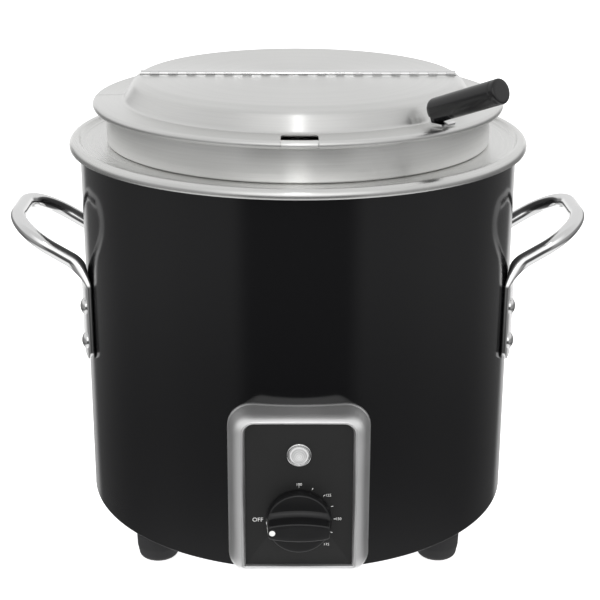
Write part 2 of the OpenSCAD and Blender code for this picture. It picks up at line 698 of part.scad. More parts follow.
module rear_hinge_leaf() color(steel_col) hinge_leaf(1, 1, pin_r + 0.05);
module front_hinge_leaf() color(steel_col) hinge_leaf(-1, 0, pin_r + 0.1);
module hinge_pin() color(steel_col) translate([-hinge_l / 2, 0, hinge_z]) rotate([0, 90, 0])
    cylinder(h = hinge_l, r = pin_r, $fn = 32);

// ---- Lid grip ----

// Frame with +X along the grip's direction over the counter
module bracket_place() rotate([0, 0, grip_turn - 90]) children();

// Frame at the grip's root with +Z along the grip
module grip_place() bracket_place() translate([grip_root_r, 0, grip_root_z])
    rotate([0, 90 - grip_tilt, 0]) children();

module lid_grip() color(black_col) grip_place() difference() {
    rotate_extrude() polygon(concat([[0, 0]], arc(grip_r - 1, 1, 1, 270, 360, 3),
        arc(grip_r - 1.2, grip_l - 1.2, 1.2, 0, 90, 3), [[0, grip_l]]));
    translate([0, 0, -cut]) cylinder(h = 24, r = screw_r + 0.05);
}

module grip_bracket() color(steel_col) {
    upright_low = grip_root_z - lid_low_z - lid_t;
    difference() {
        union() {
            // Upright across the grip's root, then the foot on the lid's rim
            grip_place() translate([-5.5, -bracket_w / 2, -bracket_t])
                cube([5.5 + upright_low / cos(grip_tilt) - 1.2, bracket_w, bracket_t]);
            bracket_place() translate([grip_root_r + 0.4, -bracket_w / 2, lid_low_z + lid_t])
                cube([13.4, bracket_w, bracket_t]);
        }
        grip_place() translate([0, 0, -5]) cylinder(h = 10, r = screw_r + 0.1);
        for (side = [-1, 1]) bracket_place() translate([rivet_ring, side * rivet_side, 0])
            cylinder(h = 400, r = 1.3);
    }
}

module grip_screw() color(steel_col) grip_place() {
    translate([0, 0, -bracket_t - 2.2]) cylinder(h = 2.2, r = 3.6);
    translate([0, 0, -bracket_t - 0.2]) cylinder(h = 22, r = screw_r);
}

module bracket_rivets() color(steel_col) for (side = [-1, 1]) bracket_place()
    translate([rivet_ring, side * rivet_side, 0]) {
        translate([0, 0, lid_low_z + 0.05]) cylinder(h = lid_t + bracket_t, r = 1.2);
        translate([0, 0, lid_low_z + lid_t + bracket_t]) domed_head(2.2, 0.8);
    }

outer_shell();
water_well();
insulation_wrap();
base_plate();
heating_element();
element_clamp();
draw_stud();
clamp_nut();
base_nut();
thermostat_body();
thermostat_bulb();
bulb_clip();
capillary_tube();
high_limit_cutout();
terminal_block();
supply_leads();
cord_gland();
gland_nut();
control_bezel();
bezel_nuts();
control_plate();
thermostat_screws();
indicator_body();
indicator_lens();
indicator_nut();
left_handle();
right_handle();
left_handle_screws();
right_handle_screws();
handle_nuts();
foot_front_left();
foot_front_right();
foot_rear_left();
foot_rear_right();
foot_screws();
foot_nuts();
base_screws();
control_knob();
knob_pointer();
thermostat_shaft();
inset_pan();
lid_rear();
rear_hinge_leaf();
hinge_pin();
lid_front();
front_hinge_leaf();
lid_grip();
grip_bracket();
grip_screw();
bracket_rivets();
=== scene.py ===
"""A round countertop soup kettle: a gloss black shell on rubber feet, a stainless water well with
a rolled flange, a lift-out inset, a folding lid, two bent-rod handles and a thermostat panel.

The sections follow the kettle as it is put together. Shapes are worked out in millimetres in the
kettle's own frame: +Z up, the control panel towards -Y, the origin on the counter under its axis.
"""
import json
import math

import bmesh
import bpy
import numpy as np
from mathutils import Matrix, Vector


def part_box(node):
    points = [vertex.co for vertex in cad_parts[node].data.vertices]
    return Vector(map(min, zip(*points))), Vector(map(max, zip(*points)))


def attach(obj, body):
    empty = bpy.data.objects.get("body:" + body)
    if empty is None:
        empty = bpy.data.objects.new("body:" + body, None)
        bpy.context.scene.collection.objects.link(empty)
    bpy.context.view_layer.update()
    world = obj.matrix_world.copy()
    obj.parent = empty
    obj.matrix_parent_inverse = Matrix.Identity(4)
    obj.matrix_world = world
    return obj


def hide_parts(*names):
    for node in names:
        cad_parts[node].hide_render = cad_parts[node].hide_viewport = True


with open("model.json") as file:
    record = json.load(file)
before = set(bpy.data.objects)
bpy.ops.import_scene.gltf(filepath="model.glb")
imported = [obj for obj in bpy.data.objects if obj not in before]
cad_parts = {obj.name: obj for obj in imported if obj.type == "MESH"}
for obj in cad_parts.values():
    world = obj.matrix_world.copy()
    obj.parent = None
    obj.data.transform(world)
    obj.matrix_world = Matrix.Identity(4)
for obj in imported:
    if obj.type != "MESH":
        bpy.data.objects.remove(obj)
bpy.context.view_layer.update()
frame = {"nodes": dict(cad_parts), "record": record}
MM = 0.001


# ---- Camera, counter and light ----
# A long lens a metre away looks down on the kettle. The counter is plain white under a wide soft
# box, and a narrow light stands in front. The room is darker low down, and darkest in front.

def stand(name, data):
    """A new object at the origin, in the scene."""
    thing = bpy.data.objects.new(name, data)
    bpy.context.scene.collection.objects.link(thing)
    return thing


def stand_camera(eye, pitch, yaw, roll, lens):
    """The camera stands at eye, turned by yaw about +Z, pitched down and rolled about its own axis."""
    turn = (Matrix.Rotation(math.radians(yaw), 4, "Z") @ Matrix.Rotation(math.radians(90 - pitch), 4, "X")
            @ Matrix.Rotation(math.radians(roll), 4, "Z"))
    data = bpy.data.cameras.new("camera")
    data.lens = lens
    data.sensor_width = 36
    data.clip_end = 50
    camera = stand("camera", data)
    camera.matrix_world = Matrix.Translation([v * MM for v in eye]) @ turn
    bpy.context.scene.camera = camera


stand_camera(eye=(-7, -981.1, 500.5), pitch=19.42, yaw=-0.509, roll=0.188, lens=86.2)
bpy.context.scene.view_settings.view_transform = "Standard"


class Shade:
    """One value in a material. Arithmetic on it adds Math nodes, and make() adds any other node."""

    def __init__(self, tree, socket=None):
        self.tree = tree
        self.socket = socket

    def make(self, kind, settings=None, sockets=None, output=0):
        """Adds a node: its settings are set first, then its sockets take values or links."""
        node = self.tree.nodes.new(kind)
        for key, value in (settings or {}).items():
            setattr(node, key, value)
        for key, value in (sockets or {}).items():
            if isinstance(value, Shade):
                self.tree.links.new(value.socket, node.inputs[key])
            else:
                node.inputs[key].default_value = value
        return Shade(self.tree, node.outputs[output] if len(node.outputs) else None)

    def math(self, operation, *values):
        return self.make("ShaderNodeMath", {"operation": operation}, dict(enumerate(values)))

    def __add__(self, other):
        return self.math("ADD", self, other)

    def __sub__(self, other):
        return self.math("SUBTRACT", self, other)

    def __rsub__(self, other):
        return self.math("SUBTRACT", other, self)

    def __mul__(self, other):
        return self.math("MULTIPLY", self, other)

    def __pow__(self, other):
        return self.math("POWER", self, other)

    __radd__ = __add__
    __rmul__ = __mul__

    def ease(self, low, high):
        """0 below low, 1 above high, and a smooth step between them."""
        return self.make("ShaderNodeMapRange", {"interpolation_type": "SMOOTHSTEP"},
                         {"Value": self, "From Min": low, "From Max": high})

    def parts(self):
        """The x, y and z of a vector."""
        split = self.make("ShaderNodeSeparateXYZ", None, {0: self}).socket.node
        return [Shade(self.tree, output) for output in split.outputs]

    def noise(self, scale, detail=2.0, rough=0.5):
        """Smooth noise from 0 to 1 on a vector, with scale in features a metre."""
        return self.make("ShaderNodeTexNoise", None,
                         {"Vector": self, "Scale": scale, "Detail": detail, "Roughness": rough}, "Fac")

    def between(self, one, other):
        """A colour that runs from one to the other as this value runs from 0 to 1."""
        return self.make("ShaderNodeMix", {"data_type": "RGBA"},
                         {"Factor": self, 6: (*one, 1), 7: (*other, 1)}, 2)


def light_room():
    """The room by direction. Turn is the angle from the front, 0 to 180 degrees. Low down it is dark
    in front, grey at the sides and white behind; high up it is pale all round, brightest in front."""
    world = bpy.data.worlds.new("room")
    bpy.context.scene.world = world
    world.use_nodes = True
    world.node_tree.nodes.clear()
    room = Shade(world.node_tree)
    x, y, z = room.make("ShaderNodeTexCoord", None, None, "Generated").parts()
    turn = room.math("ARCTAN2", room.math("ABSOLUTE", x), 0 - y) * (180 / math.pi)
    low = 0.10 + 0.24 * turn.ease(24, 36) - 0.12 * turn.ease(70, 112) + 0.80 * turn.ease(147, 158)
    low = low * (0.55 + 0.45 * z.ease(-0.46, -0.30)) + 0.85 * (1 - z.ease(-0.72, -0.50))
    front = (1 - turn.ease(10, 55)) * (1 - z.ease(0.55, 0.85))
    high = 0.74 + 0.10 * turn.ease(60, 120) + 0.60 * front
    level = low + (high - low) * z.ease(-0.06, 0.22)
    seen = room.make("ShaderNodeLightPath", None, None, "Is Camera Ray")
    glow = room.make("ShaderNodeBackground", None,
                     {"Color": (1, 1, 1, 1), "Strength": level * (1 - seen) + seen * 1.0})
    room.make("ShaderNodeOutputWorld", None, {"Surface": glow})


light_room()


def soft_box(name, place, aim, size, power, glossy=True):
    """A rectangular soft light at place, facing aim, with its size in millimetres."""
    data = bpy.data.lights.new(name, "AREA")
    data.shape = "RECTANGLE"
    data.size, data.size_y = [s * MM for s in size]
    data.energy = power
    lamp = stand(name, data)
    lamp.location = [v * MM for v in place]
    direction = Vector(aim) - Vector(place)
    lamp.rotation_euler = direction.to_track_quat("-Z", "Y").to_euler()
    lamp.visible_glossy = glossy


soft_box("overhead_light", (0, -300, 1900), (0, 0, 150), (1500, 1100), 6, glossy=False)
soft_box("front_light", (-12, -1500, 1500), (0, 0, 250), (110, 600), 1.2)


def lay_counter():
    """The counter: a wide flat sheet of white laminate that glows a little, so its shadows stay pale."""
    mesh = bpy.data.meshes.new("counter")
    reach = 12
    corners = [(-reach, -reach, 0), (reach, -reach, 0), (reach, reach, 0), (-reach, reach, 0)]
    mesh.from_pydata(corners, [], [(0, 1, 2, 3)])
    counter = stand("counter", mesh)
    white = bpy.data.materials.new("white_counter")
    white.use_nodes = True
    sheet = white.node_tree.nodes["Principled BSDF"]
    sheet.inputs["Base Color"].default_value = (0.85, 0.85, 0.85, 1)
    sheet.inputs["Roughness"].default_value = 0.6
    sheet.inputs["Emission Color"].default_value = (1, 1, 1, 1)
    sheet.inputs["Emission Strength"].default_value = 0.85
    mesh.materials.append(white)
    counter.visible_glossy = False


lay_counter()


# ---- Shell ----
# The outer wall is one sheet of painted steel, rolled to a cylinder and closed with a hidden
# seam at the back. A hem turned in at its foot carries the base plate and the feet.

def rounded(corners, steps=8):
    """An outline through (across, up, radius) corners: each corner is an arc of its radius that
    touches both of its sides, found by turning one spoke of the arc into the other."""
    corners = np.asarray(corners, float)
    spots = corners[:, :2]
    pieces = [spots[:1]]
    for before, here, after, radius in zip(spots[:-2], spots[1:-1], spots[2:], corners[1:-1, 2]):
        if radius == 0:
            pieces.append(here[None])
            continue
        a = (before - here) / np.linalg.norm(before - here)
        b = (after - here) / np.linalg.norm(after - here)
        half = 0.5 * np.arccos(np.clip(a @ b, -1, 1))
        centre = here + (a + b) / np.linalg.norm(a + b) * radius / np.sin(half)
        first = here + a * radius / np.tan(half) - centre
        last = here + b * radius / np.tan(half) - centre
        turn = np.pi - 2 * half
        t = np.linspace(0, 1, steps + 1)[:, None]
        pieces.append(centre + (np.sin((1 - t) * turn) * first + np.sin(t * turn) * last) / np.sin(turn))
    pieces.append(spots[-1:])
    return np.concatenate(pieces)


def together(*values):
    """Matched numbers side by side as coordinates; a single number is repeated for every point."""
    return np.stack(np.broadcast_arrays(*values), -1)


def arc(across, up, radius, start, stop, steps=12):
    """Points on a circle about (across, up) from angle start to stop, in degrees."""
    a = np.radians(np.linspace(start, stop, steps + 1))
    return together(across + radius * np.cos(a), up + radius * np.sin(a))


def tidy_mesh(mesh, thickness=0.0, sharp=35):
    """Merges seams and poles, gives a single sheet its thickness on its inner side, turns every
    face outwards, and shades it smooth except over edges sharper than the given angle."""
    shape = bmesh.new()
    shape.from_mesh(mesh)
    bmesh.ops.remove_doubles(shape, verts=shape.verts, dist=1e-7)
    bmesh.ops.dissolve_degenerate(shape, edges=shape.edges, dist=1e-8)
    if thickness:
        bmesh.ops.solidify(shape, geom=shape.faces[:], thickness=thickness * MM)
    bmesh.ops.recalc_face_normals(shape, faces=shape.faces)
    shape.to_mesh(mesh)
    shape.free()
    mesh.shade_smooth()
    mesh.set_sharp_from_angle(angle=math.radians(sharp))
    return mesh


def grid_faces(rows, columns, wrap_rows=False, wrap_columns=False):
    """Four-sided faces over a grid of points numbered row by row, closed round on request."""
    index = np.arange(rows * columns).reshape(rows, columns)
    if wrap_rows:
        index = np.vstack([index, index[:1]])
    if wrap_columns:
        index = np.hstack([index, index[:, :1]])
    return np.stack([index[:-1, :-1], index[1:, :-1], index[1:, 1:], index[:-1, 1:]], -1).reshape(-1, 4)


def surface(name, points, wrap_rows=False, wrap_columns=False, thickness=0.0, sharp=35):
    """A mesh over a grid of points in millimetres, as an object at the origin."""
    mesh = bpy.data.meshes.new(name)
    faces = grid_faces(*points.shape[:2], wrap_rows, wrap_columns)
    mesh.from_pydata((points.reshape(-1, 3) * MM).tolist(), [], faces.tolist())
    return stand(name, tidy_mesh(mesh, thickness, sharp))


def turned(outline, turns=256, base=(0, 0, 0), axes=((1, 0, 0), (0, 1, 0), (0, 0, 1))):
    """Points of an outline of (radius, height) carried round the third axis through base."""
    a = np.linspace(0, 2 * np.pi, turns, endpoint=False)
    u, v, w = np.asarray(axes, float)
    radius, height = outline[:, None, 0, None], outline[:, None, 1, None]
    return np.asarray(base, float) + radius * (np.cos(a)[:, None] * u + np.sin(a)[:, None] * v) + height * w


def join(name, pieces, material, body, slot, *stands_for):
    """Makes one piece of several in one material, puts it on its body and hides the CAD nodes it
    stands for."""
    for part in pieces:
        part.data.materials.clear()
        part.data.materials.append(material)
    if len(pieces) > 1:
        with bpy.context.temp_override(active_object=pieces[0], selected_editable_objects=pieces):
            bpy.ops.object.join()
    piece = pieces[0]
    piece.name = piece.data.name = name
    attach(piece, body)
    if stands_for:
        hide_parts(*stands_for)
    return piece


def finish(name, colour, roughness, metallic=0.0, constants=None):
    """A new material, its principled shader with fixed values, and the place of each point on the
    piece, which patterns are built on."""
    material = bpy.data.materials.new(name)
    material.use_nodes = True
    shader = material.node_tree.nodes["Principled BSDF"]
    shader.inputs["Base Color"].default_value = (*colour, 1)
    shader.inputs["Roughness"].default_value = roughness
    shader.inputs["Metallic"].default_value = metallic
    for key, value in (constants or {}).items():
        shader.inputs[key].default_value = value
    material.diffuse_color = (*colour, 1)
    here = Shade(material.node_tree).make("ShaderNodeTexCoord", None, None, "Object")
    return material, shader, here


def feed(shader, socket, value):
    """Links a pattern to one socket of a principled shader."""
    shader.id_data.links.new(value.socket, shader.inputs[socket])


def bumped(shader, height, distance, strength=1.0):
    """Gives a shader the relief of a height pattern; distance is its depth in millimetres."""
    bump = height.make("ShaderNodeBump", None,
                       {"Strength": strength, "Distance": distance * MM, "Height": height})
    feed(shader, "Normal", bump)


def gloss_black_paint():
    """Baked gloss enamel: a faint orange peel, and a little haze where hands wipe it."""
    material, shader, here = finish("gloss_black_paint", (0.004, 0.004, 0.0045), 0.12)
    haze = here.noise(14, 4)
    feed(shader, "Roughness", 0.09 + 0.07 * haze)
    peel = here.noise(900, 1)
    bumped(shader, peel, 0.004, 0.25)
    return material


def lowest(node):
    """The lowest corner of a CAD node, in millimetres."""
    return np.array(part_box(node)[0]) / MM


def highest(node):
    """The highest corner of a CAD node, in millimetres."""
    return np.array(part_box(node)[1]) / MM


shell_r = highest("outer_shell")[0]
shell_low = lowest("outer_shell")[2]
shell_top = highest("outer_shell")[2]
sheet = 1.0
hem_r = 118

shell_outline = rounded([
    (hem_r, shell_low + 1.2, 0), (shell_r - sheet, shell_low + 1.2, 0.3), (shell_r - sheet, shell_low, 0),
    (shell_r, shell_low, 0.6), (shell_r, shell_top, 0), (shell_r - sheet, shell_top, 0),
    (shell_r - sheet, shell_low + 2.2, 0.6), (hem_r, shell_low + 2.2, 0)])
shell = surface("black_shell", turned(shell_outline, 360), wrap_rows=True, wrap_columns=True)
join("black_shell", [shell], gloss_black_paint(), "kettle", "black_paint", "outer_shell")


# ---- Water well ----
# The well is spun from one sheet of stainless steel. Its rim is a shallow gutter that rests on
# the shell, and its edge is rolled over and down. The spinning leaves fine rings all over it.

def brushed_steel(name, level=0.72, rough=0.30, grain=1.0, across=0.65):
    """Stainless steel brushed round the kettle's axis. The grain is noise on the distance from
    that axis and on the height, so that it runs in rings, at two widths of scratch."""
    material, shader, here = finish(name, (level, level, level * 0.985), rough, 1.0,
                                     {"Anisotropic": across, "Anisotropic Rotation": 0.25})
    x, y, z = here.parts()
    radius = (x * x + y * y) ** 0.5
    drift = here.noise(9, 2) * 0.004
    ring = here.make("ShaderNodeCombineXYZ", None, {0: radius + drift, 1: z + drift, 2: drift})
    broad = ring.noise(420, 3, 0.6)
    fine = ring.noise(2600, 2, 0.6)
    cloud = here.noise(11, 3)
    tone = 0.86 + 0.16 * broad + 0.10 * fine
    colour = here.make("ShaderNodeMix", {"data_type": "RGBA", "blend_type": "MULTIPLY"},
                       {"Factor": 1.0, 6: (level, level, level * 0.985, 1), 7: tone}, 2)
    feed(shader, "Base Color", colour)
    feed(shader, "Roughness", rough - 0.10 * grain + 0.12 * grain * broad + 0.06 * grain * cloud)
    bumped(shader, broad * 0.6 + fine * 0.4, 0.02 * grain, 0.6)
    return material


def around_axis(piece):
    """Centres the mesh's own texture space on the kettle's axis, which is where the shader takes
    the direction of the brushing from."""
    piece.data.use_auto_texspace = False
    piece.data.texspace_location = (0, 0, 0.2)
    piece.data.texspace_size = (0.4, 0.4, 0.4)


well_t = 0.9
opening_r = 128.0
gutter_z = shell_top + well_t
flange_r = highest("water_well")[0]
well_low = lowest("water_well")[2]
bead_out = 4.6
bead_at = (flange_r - bead_out, gutter_z - 1.4)

well_outline = np.concatenate([
    rounded([(0, well_low + well_t, 0), (opening_r, well_low + well_t, 12), (opening_r, gutter_z, 1.2),
             (shell_r - 1.4, gutter_z, 2.0), (shell_r + 0.3, gutter_z + 2.2, 0)], 6),
    arc(*bead_at, bead_out, 116, -22, 20), arc(*bead_at, bead_out - well_t, -22, 118, 14),
    rounded([(shell_r + 0.75, gutter_z + 0.3, 0), (shell_r + 0.2, shell_top, 0),
             (opening_r + well_t, shell_top, 0.5), (opening_r + well_t, well_low, 12.9),
             (0, well_low, 0)], 6)])
well = surface("well_and_flange", turned(well_outline, 360), wrap_columns=True)
around_axis(well)
spun_steel = brushed_steel("spun_steel", 0.74, 0.27, 0.8)
join("well_and_flange", [well], spun_steel, "kettle", "stainless_steel", "water_well")


# ---- Feet ----
# Four moulded rubber feet taper down to the counter. Each is screwed to the base through its
# recessed middle.

def black_rubber():
    """Matte moulded rubber with a fine pebbled skin and a dusty wear at its lower edge."""
    material, shader, here = finish("black_rubber", (0.018, 0.018, 0.019), 0.62, 0,
                                    {"Specular IOR Level": 0.35})
    z = here.parts()[2]
    wear = (1 - z.ease(0.0, 0.004)) * here.noise(160, 3)
    skin = here.noise(1500)
    feed(shader, "Base Color", wear.between((0.018, 0.018, 0.019), (0.075, 0.072, 0.07)))
    feed(shader, "Roughness", 0.52 + 0.2 * skin)
    bumped(shader, skin, 0.03, 0.5)
    return material


rubber = black_rubber()
foot_h = shell_low + 0.2
for node in ("foot_front_left", "foot_front_right", "foot_rear_left", "foot_rear_right"):
    middle = (lowest(node) + highest(node)) / 2
    foot_r = (highest(node) - lowest(node))[0] / 2
    foot_outline = rounded([
        (2.2, 9, 0), (5.5, 9, 0.3), (5.5, 0.0, 0.8), (foot_r - 2.0, 0, 3.6), (foot_r - 0.3, 9, 6),
        (foot_r, foot_h - 2.5, 1.2), (foot_r - 0.2, foot_h - 0.3, 0.8), (foot_r - 1.4, foot_h, 0),
        (2.2, foot_h, 0)])
    foot = surface(node, turned(foot_outline, 72, (*middle[:2], 0)), wrap_rows=True, wrap_columns=True)
    join("rubber_" + node, [foot], rubber, "kettle", "foot_rubber", node)


# ---- Side handles ----
# Each handle is one steel rod bent into a loop that leans out and up. Its two ends are pressed
# flat into tabs, which lie on the shell under two screws each. The rod is polished bright.

def polished_steel(name, level=0.80, rough=0.09):
    """Bright polished stainless steel with the faint haze and hairlines that buffing leaves."""
    material, shader, here = finish(name, (level, level, level), rough, 1.0)
    haze = here.noise(70, 4)
    stretched = here.make("ShaderNodeMapping", None, {"Vector": here, "Scale": (300, 900, 300)})
    hairs = stretched.noise(4, 2)
    feed(shader, "Roughness", rough - 0.03 + 0.08 * haze + 0.03 * hairs)
    bumped(shader, hairs, 0.004, 0.12)
    return material


polished = polished_steel("polished_steel")

rod_r = 5.2
tab_t, tab_w = 3.5, 22
tab_in = shell_r + 0.1
tab_turn = math.asin(45 / shell_r)
tab_x, tab_y = (tab_in + tab_t / 2) * math.cos(tab_turn), (tab_in + tab_t / 2) * math.sin(tab_turn)
tab_low = lowest("right_handle")[2]
slope = math.radians(31.6)
knee_r, knee_turn = 22, math.radians(90 - 31.6)
corner_r = 33
leg_y = 45
loop_x = 195
loop_z = 224
knee_x = tab_x + knee_r * (1 - math.cos(knee_turn))
tab_top = loop_z - (loop_x - knee_x) * math.tan(slope) - knee_r * math.sin(knee_turn)


def handle_stations():
    """Stations along half of the right handle, from a tab's end to the middle of the outer bar:
    centre, direction of the width, direction of the thickness, half width, half thickness.
    The tab's end is rounded by a quarter circle, the knee turns from upright to the loop's slope
    while the section changes from flat to round, and the corner is a quarter circle."""
    a = np.linspace(0, np.pi / 2, 10)
    end = 7
    tab_cos, tab_sin = math.cos(tab_turn), math.sin(tab_turn)
    tab = together(tab_x, tab_y, tab_low + end * (1 - np.cos(a)), -tab_sin, tab_cos, 0,
                   tab_cos, tab_sin, 0, tab_w / 2 - end * (1 - np.sin(a)), tab_t / 2)
    t = np.linspace(0, 1, 28)
    ease = t * t * (3 - 2 * t)
    tilt, turn = knee_turn * t, tab_turn * (1 - ease)
    knee = together(tab_x + knee_r * (1 - np.cos(tilt)), tab_y + (leg_y - tab_y) * ease,
                    tab_top + knee_r * np.sin(tilt), -np.sin(turn), np.cos(turn), 0,
                    np.cos(tilt) * np.cos(turn), np.cos(tilt) * np.sin(turn), -np.sin(tilt),
                    tab_w / 2 + (rod_r - tab_w / 2) * ease, tab_t / 2 + (rod_r - tab_t / 2) * ease)
    a = np.linspace(0, np.pi / 2, 30)
    out = np.array([math.cos(slope), 0, math.sin(slope)])
    side = np.array([0, 1, 0])
    spoke = np.sin(a)[:, None] * out + np.cos(a)[:, None] * side
    centre = np.array([loop_x, leg_y - corner_r, loop_z]) - corner_r * out + corner_r * spoke
    across = np.broadcast_to([math.sin(slope), 0, -math.cos(slope)], spoke.shape)
    round_rod = np.full((len(a), 2), rod_r)
    return np.concatenate([tab, knee, np.hstack([centre, spoke, across, round_rod])])


def handle_points(hand, around=12):
    """The handle's skin: at each station a rectangle with rounded corners, whose corner radius
    grows to the rod's own, closed by a point at each end. hand is 1 right and -1 left."""
    half = handle_stations()
    other = half[::-1].copy()
    other[:, [1, 4, 7]] *= -1
    stations = np.concatenate([half, other])
    centre, width, thick = stations[:, None, 0:3], stations[:, None, 3:6], stations[:, None, 6:9]
    edge = np.clip(stations[:, 9:10], 0.05, None)
    deep = stations[:, 10:11]
    radius = np.minimum(np.minimum(edge, deep), np.where(deep < tab_t / 2 + 0.01, 1.0, deep))
    radius = np.minimum(radius, 1.0 + (rod_r - 1.0) * np.clip((deep - tab_t / 2) / (rod_r - tab_t / 2), 0, 1))
    quarter = (np.arange(around) + 0.5) / around * np.pi / 2
    angle = np.concatenate([quarter + k * np.pi / 2 for k in range(4)])
    flat_w = np.concatenate([np.full(around, s) for s in (1, -1, -1, 1)])
    flat_t = np.concatenate([np.full(around, s) for s in (1, 1, -1, -1)])
    along = (edge - radius) * flat_w + radius * np.cos(angle)
    over = (deep - radius) * flat_t + radius * np.sin(angle)
    rings = centre + along[..., None] * width + over[..., None] * thick
    caps = [np.broadcast_to(ring.mean(0), ring.shape)[None] for ring in (rings[0], rings[-1])]
    points = np.concatenate([caps[0], rings, caps[1]])
    points[..., 0] *= hand
    return points


def domed_head(head_r, head_h, base, axes):
    """A plain domed screw head: part of a ball over a short upright edge."""
    ball = (head_r ** 2 + (head_h - 0.8) ** 2) / (2 * (head_h - 0.8))
    fall = math.degrees(math.asin(head_r / ball))
    dome = arc(0, head_h - ball, ball, 90, 90 - fall, 10)
    outline = np.concatenate([dome, [[head_r, 0], [0, 0]]])
    return surface("head", turned(outline, 48, base, axes), wrap_columns=True, sharp=50)


screw_heights = [141.3, 166.5]
for hand, side_name in ((1, "right"), (-1, "left")):
    handle = surface(side_name + "_rod", handle_points(hand), wrap_columns=True, sharp=50)
    join(side_name + "_handle_rod", [handle], polished, "kettle", "polished_steel", side_name + "_handle")
    heads = []
    for side in (-1, 1):
        out = np.array([hand * math.cos(tab_turn), side * math.sin(tab_turn), 0])
        level = np.array([-out[1], out[0], 0])
        for z in screw_heights:
            seat = out * (tab_in + tab_t) + [0, 0, z]
            heads.append(domed_head(5.8, 3.3, seat, (level, (0, 0, 1), out)))
    join(side_name + "_screw_heads", heads, polished, "kettle", "polished_steel",
         side_name + "_handle_screws")


# ---- Control bezel and plate ----
# The bezel is drawn from polished sheet: a flange that fits the shell, a raised rounded ridge, and
# a recess that holds the plate. The plate is flat steel with a matte black finish, printed white.

plate_low, plate_high = lowest("control_plate"), highest("control_plate")
plate_y = -plate_low[1]
plate_mid = (plate_low[2] + plate_high[2]) / 2
bezel_low, bezel_high = lowest("control_bezel"), highest("control_bezel")
bezel_mid = (bezel_low[2] + bezel_high[2]) / 2


def frame_line(width, height, middle, top_r, bottom_r, straight=14, corner=14):
    """A rounded rectangle as matched points, so that two of them can be joined point to point:
    the same number on every straight side and on every corner, anticlockwise from the top right."""
    w, h = width / 2, height / 2
    corners = [(w, h, top_r, 0), (-w, h, top_r, 90), (-w, -h, bottom_r, 180), (w, -h, bottom_r, 270)]
    pieces = []
    for index, (x, z, r, start) in enumerate(corners):
        bend = arc(x - math.copysign(r, x), z - math.copysign(r, z), r, start, start + 90, corner)
        nx, nz, nr, nstart = corners[(index + 1) % 4]
        following = arc(nx - math.copysign(nr, nx), nz - math.copysign(nr, nz), nr, nstart, nstart + 90, 1)[0]
        t = np.linspace(0, 1, straight + 2)[1:-1, None]
        pieces += [bend, bend[-1] * (1 - t) + following * t]
    line = np.concatenate(pieces)
    line[:, 1] += middle
    return line


def bezel_points():
    """Rows from the bezel's back edge on the shell, up its slope and over its ridge, to the plate's
    edge. A row lies part of the way from the outer line to the inner line, and its depth is part of
    the way from the shell's curve to the ridge. Below the plate the ridge is thin and the slope is
    wide, and the foot of the slope stands further off the shell."""
    outer = frame_line(bezel_high[0] * 2, bezel_high[2] - bezel_low[2], bezel_mid, 16.5, 10.5)
    inner = frame_line(plate_high[0] * 2 + 0.6, plate_high[2] - plate_low[2] + 0.6, plate_mid, 7, 1)
    ridge_y = plate_y + 1.3
    section = rounded([(0.0, -0.09, 0), (0.0, 0.06, 0.03), (0.08, 0.12, 0.06), (0.42, 0.88, 0.70),
                       (0.86, 1.05, 0.12), (1.0, 0.94, 0.05), (1.0, 0.76, 0)], 8)
    foot = np.clip((plate_low[2] - outer[:, 1]) / (plate_low[2] - bezel_low[2]), 0, 1)
    inwards, raised = section[:, 0, None], section[:, 1, None]
    thin = np.interp(inwards, [0, 0.08, 0.42, 0.86, 1], [0, 0.03, 0.80, 0.955, 1])
    inwards = inwards + (thin - inwards) * foot
    x = outer[:, 0] + (inner[:, 0] - outer[:, 0]) * inwards
    z = outer[:, 1] + (inner[:, 1] - outer[:, 1]) * inwards
    shell_y = np.sqrt((shell_r + 0.1) ** 2 - x ** 2) + 3.0 * foot
    y = shell_y + (ridge_y - shell_y) * raised
    y = np.maximum(y, np.sqrt((shell_r + 0.1) ** 2 - x ** 2))
    return together(x, -y, z)


bezel = surface("bezel", bezel_points(), wrap_columns=True, thickness=0.8, sharp=60)
bezel_steel = polished_steel("bezel_steel", 0.95, 0.42)
join("panel_bezel", [bezel], bezel_steel, "kettle", "polished_steel", "control_bezel")


def matte_black_plate():
    """Matte black coating with the fine speckle of its grain."""
    material, shader, here = finish("matte_black_plate", (0.012, 0.012, 0.013), 0.55, 0,
                                     {"Specular IOR Level": 0.4})
    grain = here.noise(2200, 3, 0.7)
    cloud = here.noise(60, 3)
    feed(shader, "Base Color", grain.between((0.006, 0.006, 0.006), (0.015, 0.015, 0.015)))
    feed(shader, "Roughness", 0.42 + 0.18 * grain + 0.06 * cloud)
    bumped(shader, grain, 0.02, 0.6)
    return material


def plate_points():
    """The plate's closed skin from the middle of its front, over its slightly rounded edge, to the
    middle of its back. A row is the outline drawn in by an inset, at a depth behind the face."""
    rows = []
    width, height = plate_high[0] * 2, plate_high[2] - plate_low[2]
    for shrink, depth in ((None, 0), (0.5, 0), (0.15, 0.12), (0, 0.45), (0, 1.5), (None, 1.5)):
        less = 2 * (shrink or 0)
        line = frame_line(width - less, height - less, plate_mid, 7, 0.8)
        if shrink is None:
            line = np.tile([0.0, plate_mid], (len(line), 1))
        rows.append(together(line[:, 0], depth - plate_y, line[:, 1]))
    return np.stack(rows)


plate = surface("plate", plate_points(), wrap_columns=True)
join("panel_plate", [plate], matte_black_plate(), "kettle", "matte_black_plate", "control_plate")


def print_white(name):
    """Opaque white ink, slightly uneven where the screen left it thin."""
    material, shader, here = finish(name, (0.78, 0.78, 0.77), 0.5)
    thin = here.noise(1800, 2)
    feed(shader, "Base Color", thin.between((0.66, 0.66, 0.65), (0.86, 0.86, 0.85)))
    return material


knob_z = (lowest("control_knob")[2] + highest("control_knob")[2]) / 2
ink_t = 0.05


